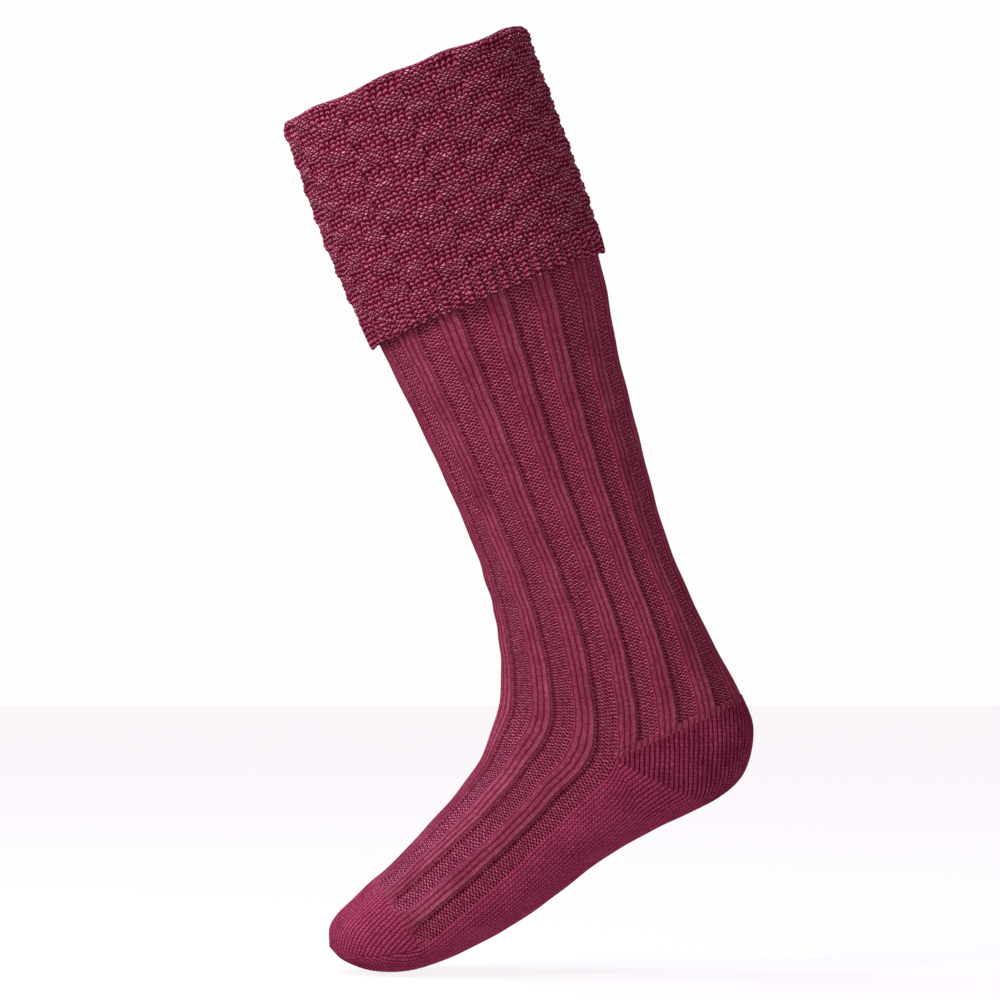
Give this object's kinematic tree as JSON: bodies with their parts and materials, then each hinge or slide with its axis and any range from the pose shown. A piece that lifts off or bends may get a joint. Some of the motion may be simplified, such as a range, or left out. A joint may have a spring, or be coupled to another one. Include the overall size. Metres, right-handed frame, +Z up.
{
  "type": "kilt hose sock",
  "caption": "Knee-high ribbed wool sock in its worn form, with a basket-knit turnover cuff, plain heel, sole and toe, open at the top.",
  "frame": {"origin": "centre of the leg's opening, where the sock is held up by the leg that wears it", "axes": "+Z up, toe towards -X, heel towards +X, -Y the side shown in the picture; the leg leans 22.5 degrees and the foot drops 42 degrees, as on tiptoe"},
  "size_m": [0.246, 0.1211, 0.4963],
  "materials": {
    "cuff_wool": "matte thick basket knit in raspberry wool",
    "rib_wool": "matte ribbed knit in raspberry wool",
    "plain_wool": "matte plain knit in raspberry wool"
  },
  "bodies": {
    "root": {"turnover_cuff": "cuff_wool", "leg": "rib_wool", "instep": "rib_wool", "heel": "plain_wool", "sole": "plain_wool", "toe": "plain_wool"}
  },
  "joints": []
}
